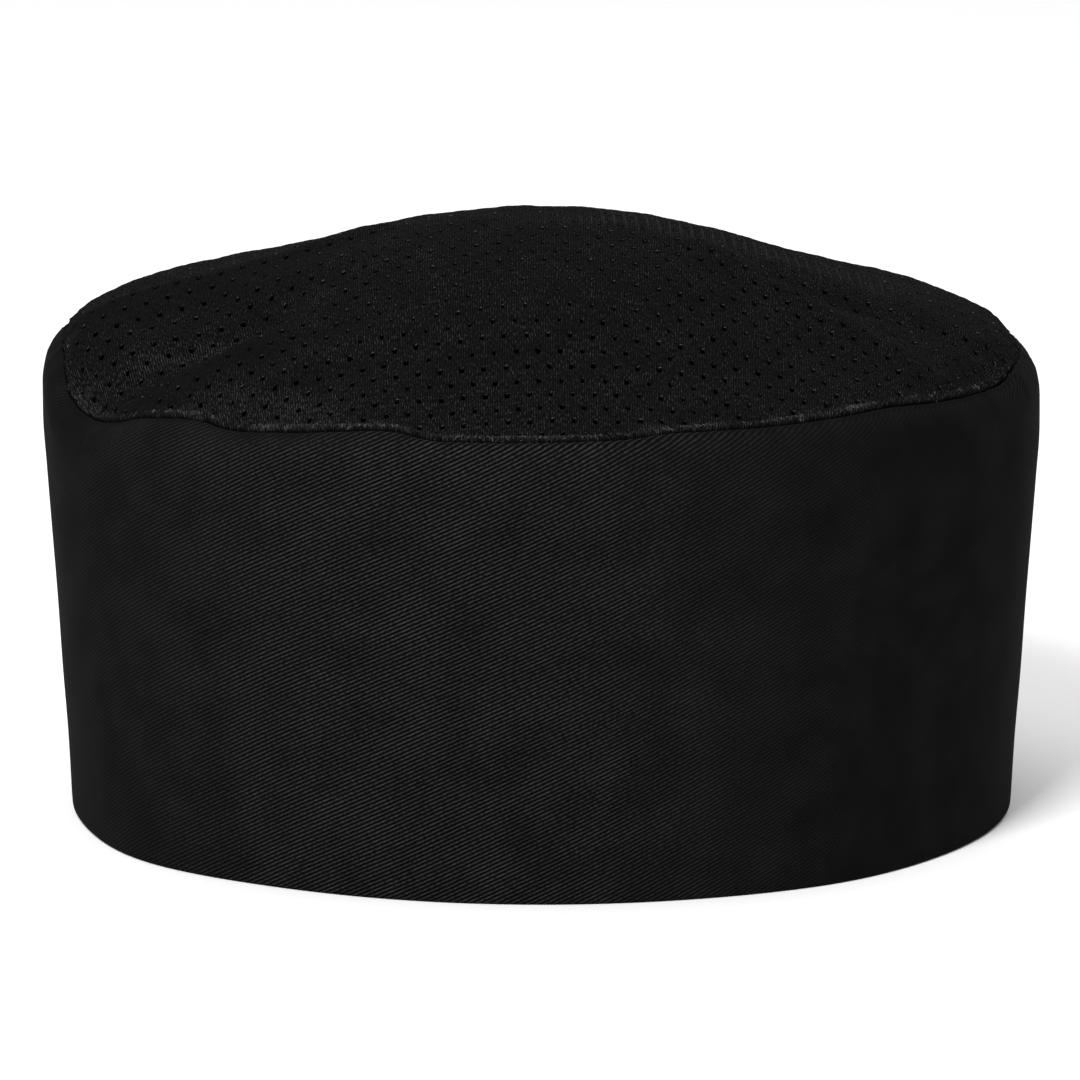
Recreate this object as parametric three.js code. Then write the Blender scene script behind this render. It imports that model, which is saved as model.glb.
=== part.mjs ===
// A cook's skull cap that stands on its hem: a deep twill side band, and a domed crown of perforated knit
// whose edge is sewn to the band's top edge and turned down inside it.
// Millimetres, +Z up, front towards -Y. The origin is at the middle of the cap, on the surface it stands on.
import * as THREE from "three";

// Driving dimensions of the band.
const HEM_WIDTH = 186.4; // outside, from ear to ear
const HEM_DEPTH = 192; // outside, from front to back
const BAND_HEIGHT = 90.5; // from the hem to the seam
const BAND_WALL = 1.8; // twill folded double at the hem
const BAND_LIP = 0.9; // single twill, rolled in at the seam
const HEM_ROUNDING = 0.22; // of the folded hem's two edges, as a share of the wall
const SHOULDER_FLARE = 5.2; // how far the band leans out above the hem's outline
const SEAM_WAVE = 7; // how far the seam dips at its lowest, over the left temple
const DENT_DEPTH = 1.3; // the band's deepest pucker

// Driving dimensions of the crown.
const CROWN_RISE = 27.8; // from the seam to the peak
const CROWN_WALL = 1.2;
const SEAM_CLEARANCE = 0.3; // between the crown's turned edge and the band
const INNER_REACH = 0.96; // share of the way out at which the crown's inner face turns down
const FOLD_HEIGHT = 5.7; // deepest valley of the crown
const FOLD_WIDTH = 9; // of a ridge or valley with a width of 1

// How finely the cloth is faceted.
const SEGMENTS = 96; // round the cap

// The band from hem to seam: rise is a share of the band's height, flare a share of the shoulder's flare.
const BAND_SECTIONS = [
  { rise: 0.0, flare: 0.0 },
  { rise: 0.15, flare: 0.13 },
  { rise: 0.3, flare: 0.33 },
  { rise: 0.45, flare: 0.5 },
  { rise: 0.6, flare: 0.7 },
  { rise: 0.74, flare: 0.88 },
  { rise: 0.84, flare: 0.99 },
  { rise: 0.91, flare: 0.98 },
  { rise: 0.96, flare: 0.82 },
  { rise: 0.985, flare: 0.56 },
  { rise: 1.0, flare: 0.3 },
];

// The seam round the cap: azimuth in degrees from the front, positive to the right of a viewer in front,
// lift as a share of the seam's wave.
const SEAM_LIFTS = [
  { azimuth: -150, lift: 0.1 },
  { azimuth: -120, lift: 0.25 },
  { azimuth: -90, lift: 0.5 },
  { azimuth: -82, lift: 0.38 },
  { azimuth: -77, lift: -0.1 },
  { azimuth: -73, lift: -0.72 },
  { azimuth: -66, lift: -1.04 },
  { azimuth: -60, lift: -0.85 },
  { azimuth: -54, lift: -0.52 },
  { azimuth: -45, lift: -0.3 },
  { azimuth: -39, lift: -0.38 },
  { azimuth: -31, lift: -0.25 },
  { azimuth: -18, lift: 0.01 },
  { azimuth: -12, lift: -0.19 },
  { azimuth: 9, lift: -0.13 },
  { azimuth: 15, lift: 0.0 },
  { azimuth: 28, lift: -0.02 },
  { azimuth: 42, lift: 0.05 },
  { azimuth: 54, lift: -0.08 },
  { azimuth: 71, lift: -0.27 },
  { azimuth: 78, lift: -0.06 },
  { azimuth: 90, lift: 0.0 },
  { azimuth: 120, lift: 0.1 },
  { azimuth: 180, lift: 0.05 },
];

// Puckers, hollows and bulges of the band: rise and reach are shares of its height, width is in degrees round
// the cap, and depth is a share of the deepest pucker. A bulge has a depth below zero.
const BAND_DENTS = [
  { azimuth: -74, rise: 1, width: 8, reach: 0.12, depth: -1.4 },
  { azimuth: -66, rise: 1, width: 9, reach: 0.16, depth: 0.6 },
  { azimuth: -45, rise: 1, width: 4.5, reach: 0.2, depth: 0.9 },
  { azimuth: -17, rise: 1, width: 5, reach: 0.4, depth: 0.45 },
  { azimuth: 27, rise: 1, width: 9, reach: 0.55, depth: 0.35 },
  { azimuth: 47, rise: 1, width: 6, reach: 0.18, depth: 1.0 },
  { azimuth: 66, rise: 1, width: 7, reach: 0.4, depth: 0.7 },
  { azimuth: 130, rise: 1, width: 12, reach: 0.5, depth: 0.4 },
  { azimuth: -125, rise: 1, width: 12, reach: 0.5, depth: 0.4 },
  { azimuth: -54, rise: 0, width: 15, reach: 0.6, depth: -1.9 },
  { azimuth: 38, rise: 0, width: 14, reach: 0.6, depth: -0.9 },
];

// The crown from its peak to the seam: reach is a share of the way out, and the other columns are heights over
// the seam, to the front, right, back and left, as shares of the crown's rise.
const CROWN_SECTIONS = [
  { reach: 0.0, front: 1.0, right: 1.0, back: 1.0, left: 1.0 },
  { reach: 0.1, front: 0.99, right: 0.99, back: 0.99, left: 0.99 },
  { reach: 0.2, front: 0.945, right: 0.965, back: 0.96, left: 0.955 },
  { reach: 0.3, front: 0.89, right: 0.905, back: 0.9, left: 0.895 },
  { reach: 0.4, front: 0.82, right: 0.81, back: 0.815, left: 0.815 },
  { reach: 0.5, front: 0.71, right: 0.695, back: 0.715, left: 0.715 },
  { reach: 0.6, front: 0.55, right: 0.57, back: 0.61, left: 0.615 },
  { reach: 0.7, front: 0.38, right: 0.46, back: 0.5, left: 0.525 },
  { reach: 0.8, front: 0.23, right: 0.365, back: 0.4, left: 0.44 },
  { reach: 0.88, front: 0.13, right: 0.285, back: 0.31, left: 0.345 },
  { reach: 0.94, front: 0.065, right: 0.21, back: 0.205, left: 0.235 },
  { reach: 0.98, front: 0.025, right: 0.12, back: 0.1, left: 0.12 },
  { reach: 1.0, front: 0.0, right: 0.0, back: 0.0, left: 0.0 },
];

// Where the peak stands in plan, as shares of the hem's half width and half depth.
const PEAK = { x: -0.01, y: -0.1 };

// Ridges and valleys of the crown in plan: ends as shares of the hem's half width and half depth, width and
// lift as shares of the fold's width and height. They run from the dome towards the two temples.
const CROWN_FOLDS = [
  { fromX: -0.36, fromY: -0.02, toX: -0.95, toY: -0.08, width: 0.7, lift: 0.23 },
  { fromX: -0.58, fromY: -0.35, toX: -0.94, toY: -0.5, width: 1.35, lift: -1.0 },
  { fromX: -0.72, fromY: -0.22, toX: -0.97, toY: -0.2, width: 1.3, lift: -0.62 },
  { fromX: -0.32, fromY: -0.6, toX: -0.64, toY: -0.73, width: 0.6, lift: 0.17 },
  { fromX: 0.34, fromY: -0.2, toX: 0.82, toY: -0.52, width: 0.8, lift: 0.25 },
  { fromX: 0.5, fromY: -0.22, toX: 0.95, toY: -0.27, width: 0.8, lift: -0.27 },
];

// The rows of the band that roll in at the seam. The crown's turned edge lies inside them.
const TURNED_RISES = BAND_SECTIONS.slice(-4).map((row) => row.rise);

const degrees = THREE.MathUtils.degToRad;
const clamp = THREE.MathUtils.clamp;

// A smooth curve through a table's rows, with no overshoot between them.
function through(rows, key, value) {
  const x = rows.map((row) => row[key]);
  const y = rows.map((row) => row[value]);
  const step = x.slice(1).map((v, i) => v - x[i]);
  const slope = step.map((s, i) => (y[i + 1] - y[i]) / s);
  const tangent = y.map((_, i) => {
    if (i === 0) return slope[0];
    if (i === y.length - 1) return slope[i - 1];
    if (slope[i - 1] * slope[i] <= 0) return 0;
    const before = 2 * step[i] + step[i - 1];
    const after = step[i] + 2 * step[i - 1];
    return (before + after) / (before / slope[i - 1] + after / slope[i]);
  });
  return (at) => {
    const v = clamp(at, x[0], x[x.length - 1]);
    let i = 0;
    while (i < step.length - 1 && v > x[i + 1]) i += 1;
    const t = (v - x[i]) / step[i];
    const u = 1 - t;
    return (
      (1 + 2 * t) * u * u * y[i] +
      t * u * u * step[i] * tangent[i] +
      t * t * (3 - 2 * t) * y[i + 1] -
      t * t * u * step[i] * tangent[i + 1]
    );
  };
}

// The same rows once more on each side of a full turn, so that the curve closes on itself.
function roundTurn(rows) {
  return [-360, 0, 360].flatMap((turn) => rows.map((row) => ({ ...row, azimuth: row.azimuth + turn })));
}

const flareAt = through(BAND_SECTIONS, "rise", "flare");
const liftAt = through(roundTurn(SEAM_LIFTS), "azimuth", "lift");
const crownAt = Object.fromEntries(
  ["front", "right", "back", "left"].map((side) => [side, through(CROWN_SECTIONS, "reach", side)]),
);

// Height of the seam over the hem.
function seamHeight(azimuth) {
  return BAND_HEIGHT + SEAM_WAVE * liftAt(azimuth);
}

// How far the band is pushed in at a place.
function dentAt(azimuth, rise) {
  const share = BAND_DENTS.reduce((sum, dent) => {
    const aside = ((azimuth - dent.azimuth + 540) % 360) - 180;
    const away = ((rise - dent.rise) / dent.reach) ** 2 + (aside / dent.width) ** 2;
    return sum + dent.depth * Math.exp(-away);
  }, 0);
  return DENT_DEPTH * share;
}

// A point of the band's outer face moved in by inset.
function bandPoint(azimuth, rise, inset, height = seamHeight(azimuth) * rise) {
  const out = SHOULDER_FLARE * flareAt(rise) - dentAt(azimuth, rise) - inset;
  const turn = degrees(azimuth);
  return new THREE.Vector3(
    (HEM_WIDTH / 2 + out) * Math.sin(turn),
    -(HEM_DEPTH / 2 + out) * Math.cos(turn),
    height,
  );
}

// The band's wall, which thins to its lip as it rolls in at the seam.
function wallAt(rise) {
  const share = clamp((rise - TURNED_RISES[0]) / (1 - TURNED_RISES[0]), 0, 1);
  return THREE.MathUtils.lerp(BAND_WALL, BAND_LIP, share);
}

// The crown's rise over the seam at a share of the way out, blended between the four sides.
function crownShare(azimuth, reach) {
  const ahead = Math.cos(degrees(azimuth));
  const aside = Math.sin(degrees(azimuth));
  const lengthwise = ahead > 0 ? crownAt.front(reach) : crownAt.back(reach);
  const crosswise = aside > 0 ? crownAt.right(reach) : crownAt.left(reach);
  return lengthwise * ahead * ahead + crosswise * aside * aside;
}

// What the folds add to the crown over a plan point. They fade out at the seam.
function foldAt(x, y, reach) {
  const across = HEM_WIDTH / 2;
  const along = HEM_DEPTH / 2;
  const share = CROWN_FOLDS.reduce((sum, fold) => {
    const from = new THREE.Vector2(fold.fromX * across, fold.fromY * along);
    const run = new THREE.Vector2(fold.toX * across, fold.toY * along).sub(from);
    const point = new THREE.Vector2(x, y).sub(from);
    const t = clamp(point.dot(run) / run.lengthSq(), 0, 1);
    const apart = point.addScaledVector(run, -t).length();
    return sum + fold.lift * Math.exp(-((apart / (fold.width * FOLD_WIDTH)) ** 2) * 2);
  }, 0);
  return FOLD_HEIGHT * share * (1 - reach ** 8);
}

// The line where the crown comes out of the band.
function rimPoint(azimuth) {
  return bandPoint(azimuth, 1, wallAt(1) + SEAM_CLEARANCE);
}

// A point of the crown's outer face.
function crownPoint(azimuth, reach) {
  const rim = rimPoint(azimuth);
  const x = THREE.MathUtils.lerp((PEAK.x * HEM_WIDTH) / 2, rim.x, reach);
  const y = THREE.MathUtils.lerp((PEAK.y * HEM_DEPTH) / 2, rim.y, reach);
  const wave = (rim.z - BAND_HEIGHT) * reach ** 6;
  const z = BAND_HEIGHT + wave + CROWN_RISE * crownShare(azimuth, reach) + foldAt(x, y, reach);
  return new THREE.Vector3(x, y, z);
}

// The crown's inner face, one wall below its outer face, square to it.
function crownInner(azimuth, reach) {
  const small = 0.01;
  const here = crownPoint(azimuth, reach);
  const outward = crownPoint(azimuth, reach + small).sub(crownPoint(azimuth, Math.max(reach - small, 0)));
  const around = crownPoint(azimuth + 1, reach).sub(crownPoint(azimuth - 1, reach));
  const normal = outward.cross(around).normalize();
  return here.addScaledVector(normal, -CROWN_WALL);
}

// The crown's edge turned down inside the band: a point on its outer or inner face.
function turnedEdge(azimuth, rise, inset) {
  return bandPoint(azimuth, rise, wallAt(rise) + SEAM_CLEARANCE + inset);
}

const AZIMUTHS = Array.from({ length: SEGMENTS }, (_, i) => (360 * i) / SEGMENTS - 180);

// A closed geometry from one loop of points for each azimuth. Where the loop starts and ends at a pole,
// the two poles are single points on the cap's axis.
function sweepRound(loopAt, poles = []) {
  const loops = AZIMUTHS.map(loopAt);
  const count = loops[0].length;
  const points = [...loops.flat(), ...poles];
  const index = [];
  const at = (i, j) => (i % SEGMENTS) * count + (j % count);
  const last = poles.length ? count - 1 : count;
  for (let i = 0; i < SEGMENTS; i += 1) {
    for (let j = 0; j < last; j += 1) {
      index.push(at(i, j), at(i + 1, j), at(i + 1, j + 1));
      index.push(at(i, j), at(i + 1, j + 1), at(i, j + 1));
    }
    if (poles.length) {
      const start = SEGMENTS * count;
      index.push(start, at(i + 1, 0), at(i, 0));
      index.push(start + 1, at(i, count - 1), at(i + 1, count - 1));
    }
  }
  const geometry = new THREE.BufferGeometry().setFromPoints(points);
  geometry.setIndex(index);
  geometry.computeVertexNormals();
  return geometry;
}

// The side band: up the outer face from the folded hem, over the lip and down the inner face.
function sideBand() {
  const fold = HEM_ROUNDING * BAND_WALL;
  const rises = BAND_SECTIONS.slice(1).map((row) => row.rise);
  return sweepRound((azimuth) => [
    bandPoint(azimuth, 0, fold, 0),
    bandPoint(azimuth, 0, 0, fold),
    ...rises.map((rise) => bandPoint(azimuth, rise, 0)),
    ...rises.toReversed().map((rise) => bandPoint(azimuth, rise, wallAt(rise))),
    bandPoint(azimuth, 0, BAND_WALL, fold),
    bandPoint(azimuth, 0, BAND_WALL - fold, 0),
  ]);
}

// The crown: out under the inner face, down and up the turned edge, and back over the outer face to the peak.
function crown() {
  const reaches = CROWN_SECTIONS.slice(1).map((row) => row.reach);
  const innerReaches = reaches.filter((reach) => reach < INNER_REACH);
  const turned = TURNED_RISES.slice(0, -1);
  const peak = crownPoint(0, 0);
  const under = peak.clone().setZ(peak.z - CROWN_WALL);
  return sweepRound(
    (azimuth) => [
      ...innerReaches.map((reach) => crownInner(azimuth, reach)),
      ...turned.toReversed().map((rise) => turnedEdge(azimuth, rise, CROWN_WALL)),
      ...turned.map((rise) => turnedEdge(azimuth, rise, 0)),
      ...reaches.toReversed().map((reach) => crownPoint(azimuth, reach)),
    ],
    [under, peak],
  );
}

function cloth(name, geometry, color, roughness) {
  const mesh = new THREE.Mesh(geometry, new THREE.MeshStandardMaterial({ color, roughness, metalness: 0 }));
  mesh.name = name;
  return mesh;
}

const cap = new THREE.Group();
cap.add(cloth("side_band", sideBand(), 0x1c1c1c, 0.85));
cap.add(cloth("crown", crown(), 0x161616, 0.75));

export default cap;
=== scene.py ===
"""Looks of the skull cap: its twill band, perforated knit crown and sewn edge, the floor and the light.

The forms follow the same tables as the solids. Lengths are in millimetres until a mesh is made."""

import math

import bpy
import numpy as np
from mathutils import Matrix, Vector
from mathutils.geometry import delaunay_2d_cdt


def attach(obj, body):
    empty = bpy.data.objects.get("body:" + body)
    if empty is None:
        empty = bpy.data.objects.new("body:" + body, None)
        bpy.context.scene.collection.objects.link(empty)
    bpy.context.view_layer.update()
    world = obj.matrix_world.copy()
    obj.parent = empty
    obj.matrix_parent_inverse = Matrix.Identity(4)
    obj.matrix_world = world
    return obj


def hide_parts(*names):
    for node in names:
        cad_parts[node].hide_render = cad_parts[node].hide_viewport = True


MM = 0.001
TURN = 360.0
SEED = 8

# Driving dimensions, the same as the solids'.
HEM_WIDTH = 186.4
HEM_DEPTH = 192.0
BAND_HEIGHT = 90.5
BAND_WALL = 1.8
BAND_LIP = 0.9
SHOULDER_FLARE = 5.2
SEAM_WAVE = 7.0
DENT_DEPTH = 1.3
CROWN_RISE = 27.8
SEAM_CLEARANCE = 0.3
FOLD_HEIGHT = 5.7
FOLD_WIDTH = 9.0

# The knit's holes.
KNIT_WALL = 0.7
HOLE_WIDTH = 1.0  # across the wales
HOLE_LENGTH = 1.65  # along the wales
HOLE_SIZES = (0.88, 1.1)  # shares of the width and length, from the smallest hole to the largest
HOLE_PITCH = 4.42  # between holes in a row
ROW_PITCH = 4.7  # between rows, which are staggered by half a pitch
HOLE_JITTER = 0.1
FIRST_HOLE = 0.86
FIRST_ROW = -0.55
LATTICE_LEAN = 1.5  # degrees that the wales lean from front to back
HOLE_SIDES = 10
HOLE_COLLAR = 1.55  # size of the ring of points round a hole, over the hole's
COLLAR_SWELL = 0.12
COLLAR_AWAY = 1.6  # from a hole's middle, where its edge is 1
COLLAR_WIDTH = 0.4
HOLE_SINK = 0.16
HOLE_SINK_WIDTH = 0.25
EDGE_MARGIN = 0.35  # cloth left between a hole and the seam
BETWEEN_MARGIN = 1.6  # between the seam and the points among the holes
SLACK = 0.22

# The knit's edge, gathered by the stitches.
RIM_INSET = 1.2  # the knit starts just behind the band's rolled lip
RIM_MARGINS = (0.0, 0.16, 0.35, 0.58, 0.85)  # loops of points near the seam
GATHER = 0.2
GATHER_REACH = 2.2
GATHER_SHIFT = 3.0  # degrees from the band's puckers
LUMPINESS = 0.45
EDGE_SWELL = 0.5
EDGE_SWELL_AWAY = 0.6
EDGE_SWELL_WIDTH = 0.75
EDGE_OVERHANG = 0.2
EDGE_OVERHANG_AWAY = 0.45
EDGE_OVERHANG_WIDTH = 0.3
EDGE_SINK = 0.8
EDGE_SINK_WIDTH = 0.25
EDGE_RISE = 0.3  # the gathers start within this of the seam
EDGE_FADE = 2.0  # the slack of the cloth fades out over this
TURNED_STEP = 0.03  # how far each level of the turned edge lies out on the flat cloth, as a share

# The loops of yarn at the far ends of the holes, and the loose fibres of the sewn edge.
SLIGHT_LOOP = 0.7  # fullness of the loops in every second row
LOOP_POINTS = 4
LOOP_SIDES = 5
LOOP_TILTS = (-0.05, 0.22)
LOOP_LENGTHS = (0.24, 0.4)
LOOP_RADII = (0.1, 0.16)
LOOP_TONES = (0.2, 1)
LOOP_ASIDE = 0.13
LOOP_PLACE = 0.8  # share of the way from a hole's middle to its far end
LOOP_ARCH = 0.1
LOOP_SINK = 0.08
LOOP_TAPER = 0.25
FIBRES = 4400
FIBRE_POINTS = 4
FIBRE_SIDES = 4
FIBRE_PLACES = (0.12, 1.0)  # in from the seam
FIBRE_SPREAD = 0.9  # farther in where the edge is rough
FIBRE_LEANS = (-1.1, 1.1)  # radians from the way in
FIBRE_LENGTHS = (0.15, 0.5)
FIBRE_LIFTS = (-0.15, 0.2)
FIBRE_RADII = (0.07, 0.13)
FIBRE_ARCH = 0.15

# The band's small puckers, slow waves and back seam.
PUCKER = 0.16
PUCKER_REACH = 5.0
PUCKER_LEAN = 2  # degrees over the band's height
SLOW_WAVE = 0.3
WAVE_LEAN = 14  # degrees over the band's height
BACK_SEAM_DEPTH = 0.55
BACK_SEAM_WIDTH = 0.75
BACK_SWELL = 0.3  # share of the depth that the cloth swells beside the groove
BACK_SWELL_AWAY = 2.4
BACK_SWELL_WIDTH = 1.5

# How closely the meshes are cut.
BAND_COLUMNS = 640
BACK_SEAM_REACH = 4.0  # the close columns each side of the back seam
BACK_SEAM_COLUMNS = 21
BACK_SEAM_SPARED = 2.5  # degrees each side of the back seam without the even columns
HEM_TURNS = 9
LIP_TURNS = 7
OUTER_RISES = ((0.03, 0.84, 32), (0.855, 0.99, 16))  # first, last and number of the levels up the outer face
INNER_RISES = (0.98, 0.03, 24)  # and down the inner face
DOME_COLUMNS = 1440
DOME_ROWS = 140
RIM_COLUMNS = 960
NEAREST_CHUNK = 4000  # points looked up at a time
MERGE_REACH = 1e-5
RIM_SLIP = 0.02  # how far past the seam a face's middle may fall
RIM_REACH = 0.05  # how near the seam a border point belongs to it
CHORD_SLIP = 0.99  # just less than the share of a hole's width that its flat sides reach
SLOPE_STEP = 0.3
JUST_INSIDE = 0.985  # share of the way out, for the way in from the seam
TINY = 1e-9

# The weaves.
WALE_PITCH = 0.484
FLECK_WIDTH = 0.28
FLECK_LENGTH = 1.15
WALE_SWAY = 0.3
WALE_SWAY_SPOTS = 0.5  # spots of noise in a millimetre
KNIT_WEAR_SPOTS = 0.12
KNIT_RELIEF = 0.12
TWILL_PITCH = 0.8  # between twill lines, up the band
TWILL_SLOPE = 0.475  # rise of a twill line over its run round the band
BEAD_LENGTH = 0.8
BEAD_WIDTH = 0.55
TWILL_DRIFT = 0.4
TWILL_DRIFT_SPOTS = 0.03
TWILL_WEAR_SPOTS = 0.09
TWILL_RELIEF = 0.24

# Ranges of noise and of waves in the weaves, and what they become.
TWILL_BEADS = (0.3, 0.7, 0.45, 1.0)
TWILL_BEAD_HEIGHTS = (0, 1, 0.55, 1.0)
TWILL_WEAR = (0.3, 0.7, 0.82, 1.12)
KNIT_RIBS = (0, 1, 0.3, 1)
KNIT_FLECKS = (0.35, 0.68, 0.1, 1.0)
KNIT_WEAR = (0.3, 0.7, 0.85, 1.15)
STRIPE_EDGES = (0.6, 1, 0, 1)
STRIPE_FLECKS = (0, 1, 0.45, 1)

# How the cloth, yarn and thread shine.
CLOTH_ROUGHNESS = 0.9
CLOTH_SPECULAR = 0.02
YARN_ROUGHNESS = 0.5
THREAD_ROUGHNESS = 0.6
YARN_SPECULAR = 0.1

# Tones along the grey ramps, from 0 to 1.
KNIT_CRISP = 1.0
# Tone that the knit gains where the painted highlight of its wales fades.
FADED_WALE_TONE = 0.34
# The twill's tone where the painted highlight of its lines fades.
FLAT_TWILL_TONE = 0.28
TUFT_TONE = 0.2
TUFT_AWAY = 1.0
TUFT_WIDTH = 0.8
TUFT_LEAST = 0.45
# Painted light on the walls of the holes, which lie in shade.
HOLE_WALL_LIGHT = 0.5
HOLE_WALL_LIGHT_WIDTH = 0.15
# Painted shadow in the ditch under the knit's edge.
DITCH_SHADE = 0.9
DITCH_SHADE_LEAST = 0.35
DITCH_SHADE_WIDTH = 0.2
DITCH_SHADE_SOFTNESS = 0.05
KNIT_TONES = ((0.0, 0.001), (0.3, 0.0026), (0.65, 0.0074), (1.0, 0.027))
TWILL_TONES = ((0.0, 0.0006), (0.25, 0.0035), (0.55, 0.013), (1.0, 0.033))
# The loops' yarn is made paler than the knit it belongs to, as painted sheen.
YARN_SHEEN_TONES = ((0.0, 0.005), (0.5, 0.015), (1.0, 0.042))
THREAD_TONES = ((0.0, 0.004), (0.45, 0.01), (0.75, 0.026), (1.0, 0.06))

# The floor, the light and the camera, in metres.
FLOOR_REACH = 6.0
FLOOR_GREY = 0.92
FLOOR_ROUGHNESS = 0.9
FLOOR_SPECULAR = 0.1
SKY = 0.5
LIT_PLACE = (0, 0, 0.06)
OVERHEAD_PLACE = (0.0, 0.55, 2.4)
OVERHEAD_SIZE = 2.2
OVERHEAD_WATTS = 32
KEY_AZIMUTH = -20
KEY_ELEVATION = 40
KEY_AWAY = 2.0
KEY_SIZE = 0.6
KEY_WATTS = 40
CAMERA_ELEVATION = 10.8
CAMERA_AWAY = 2.0
CAMERA_AIM = (-0.0003, 0, 0.05225)
CAMERA_LENS = 336.67  # millimetres, as is the sensor
CAMERA_SENSOR = 36
CAMERA_REACH = 50

# The band from hem to seam: share of its height, share of the shoulder's flare.
BAND_SECTIONS = (
    (0.0, 0.0),
    (0.15, 0.13),
    (0.3, 0.33),
    (0.45, 0.5),
    (0.6, 0.7),
    (0.74, 0.88),
    (0.84, 0.99),
    (0.91, 0.98),
    (0.96, 0.82),
    (0.985, 0.56),
    (1.0, 0.3),
)
ROLLED_FROM = 0.91
TURNED_RISES = (0.985, 0.95, ROLLED_FROM)  # of the crown's turned edge, down inside the band

# The seam round the cap: azimuth from the front, share of the seam's wave.
SEAM_LIFTS = (
    (-150, 0.1),
    (-120, 0.25),
    (-90, 0.5),
    (-82, 0.38),
    (-77, -0.1),
    (-73, -0.72),
    (-66, -1.04),
    (-60, -0.85),
    (-54, -0.52),
    (-45, -0.3),
    (-39, -0.38),
    (-31, -0.25),
    (-18, 0.01),
    (-12, -0.19),
    (9, -0.13),
    (15, 0.0),
    (28, -0.02),
    (42, 0.05),
    (54, -0.08),
    (71, -0.27),
    (78, -0.06),
    (90, 0.0),
    (120, 0.1),
    (180, 0.05),
)

# Puckers, hollows and bulges of the band: azimuth, share of its height, width in degrees, reach as a share of
# its height, share of the deepest pucker.
BAND_DENTS = (
    (-74, 1, 8, 0.12, -1.4),
    (-66, 1, 9, 0.16, 0.6),
    (-45, 1, 4.5, 0.2, 0.9),
    (-17, 1, 5, 0.4, 0.45),
    (27, 1, 9, 0.55, 0.35),
    (47, 1, 6, 0.18, 1.0),
    (66, 1, 7, 0.4, 0.7),
    (130, 1, 12, 0.5, 0.4),
    (-125, 1, 12, 0.5, 0.4),
    (-54, 0, 15, 0.6, -1.9),
    (38, 0, 14, 0.6, -0.9),
)

# The crown from its peak to the seam: share of the way out, then shares of the rise to the front, right, back
# and left.
CROWN_SECTIONS = (
    (0.0, 1.0, 1.0, 1.0, 1.0),
    (0.1, 0.99, 0.99, 0.99, 0.99),
    (0.2, 0.945, 0.965, 0.96, 0.955),
    (0.3, 0.89, 0.905, 0.9, 0.895),
    (0.4, 0.82, 0.81, 0.815, 0.815),
    (0.5, 0.71, 0.695, 0.715, 0.715),
    (0.6, 0.55, 0.57, 0.61, 0.615),
    (0.7, 0.38, 0.46, 0.5, 0.525),
    (0.8, 0.23, 0.365, 0.4, 0.44),
    (0.88, 0.13, 0.285, 0.31, 0.345),
    (0.94, 0.065, 0.21, 0.205, 0.235),
    (0.98, 0.025, 0.12, 0.1, 0.12),
    (1.0, 0.0, 0.0, 0.0, 0.0),
)
PEAK_X = -0.01
PEAK_Y = -0.1
SEAM_WAVE_POWER = 6  # how late the crown takes on the seam's wave
FOLD_END_POWER = 8  # how late its folds end at the seam
LINE_FADE = 2

# Ridges and valleys of the crown in plan: from x, from y, to x, to y, shares of the width and the height.
CROWN_FOLDS = (
    (-0.36, -0.02, -0.95, -0.08, 0.7, 0.23),
    (-0.58, -0.35, -0.94, -0.5, 1.35, -1.0),
    (-0.72, -0.22, -0.97, -0.2, 1.3, -0.62),
    (-0.32, -0.6, -0.64, -0.73, 0.6, 0.17),
    (0.34, -0.2, 0.82, -0.52, 0.8, 0.25),
    (0.5, -0.22, 0.95, -0.27, 0.8, -0.27),
)

# Painted light and shade on the knit's folds: paler where a rise faces the key light and along the sheen of
# the top, darker in a hollow, in the same columns; the last is added to its tone.
FOLD_LIGHT_AND_SHADE = (
    (-0.94, -0.36, -0.6, -0.39, 0.6, 0.13),
    (-0.66, -0.69, -0.42, -0.86, 0.6, 0.12),
    (-0.84, -0.52, -0.58, -0.52, 1.2, -0.08),
    (0.16, -0.08, 0.5, -0.06, 0.7, 0.08),
)

# Where its wales stand out, as painted highlight where light falls full on a fold, or fade, as painted shade;
# the last is a share of their contrast.
LIT_WALES = (
    (-0.94, -0.36, -0.6, -0.39, 0.65, 0.6),
    (-0.66, -0.69, -0.42, -0.86, 0.7, 0.45),
    (-0.84, -0.54, -0.6, -0.54, 1.1, -0.5),
    (-0.95, -0.1, -0.5, -0.12, 1.5, -0.4),
    (-0.3, -0.9, 0.3, -0.9, 1.2, 0.2),
)

# Where the wales between the columns of holes show pale, as painted sheen along the top; the last is added to
# their tone.
GLEAMING = ((0.16, -0.06, 0.66, 0.02, 1.7, 0.5),)

# Where slack knit closes its holes, in the same columns; the last is the share of their size that is lost.
CLOSED = ((-0.28, -0.53, 0.16, -0.53, 1.7, 0.42),)

# Where the sewing has roughened the knit's edge most: azimuth, width in degrees, share of the loose fibres.
TUFTS = (
    (-70, 7, 0.05),
    (-50, 6, 0.07),
    (-27, 10, 0.16),
    (-1, 8, 0.1),
    (18, 5, 0.05),
    (32, 5, 0.04),
    (40, 6, 0.06),
    (57, 8, 0.06),
    (150, 25, 0.1),
    (-140, 25, 0.1),
)

# Where the painted shadow in the ditch under the knit's edge is deepest: azimuth, width in degrees, share of
# the whole depth.
DITCH_SHADES = (
    (-29, 13, 0.65),
    (-55, 8, 0.35),
    (46, 7, 0.5),
    (22, 6, 0.35),
    (150, 40, 0.4),
    (-140, 40, 0.4),
)

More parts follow.
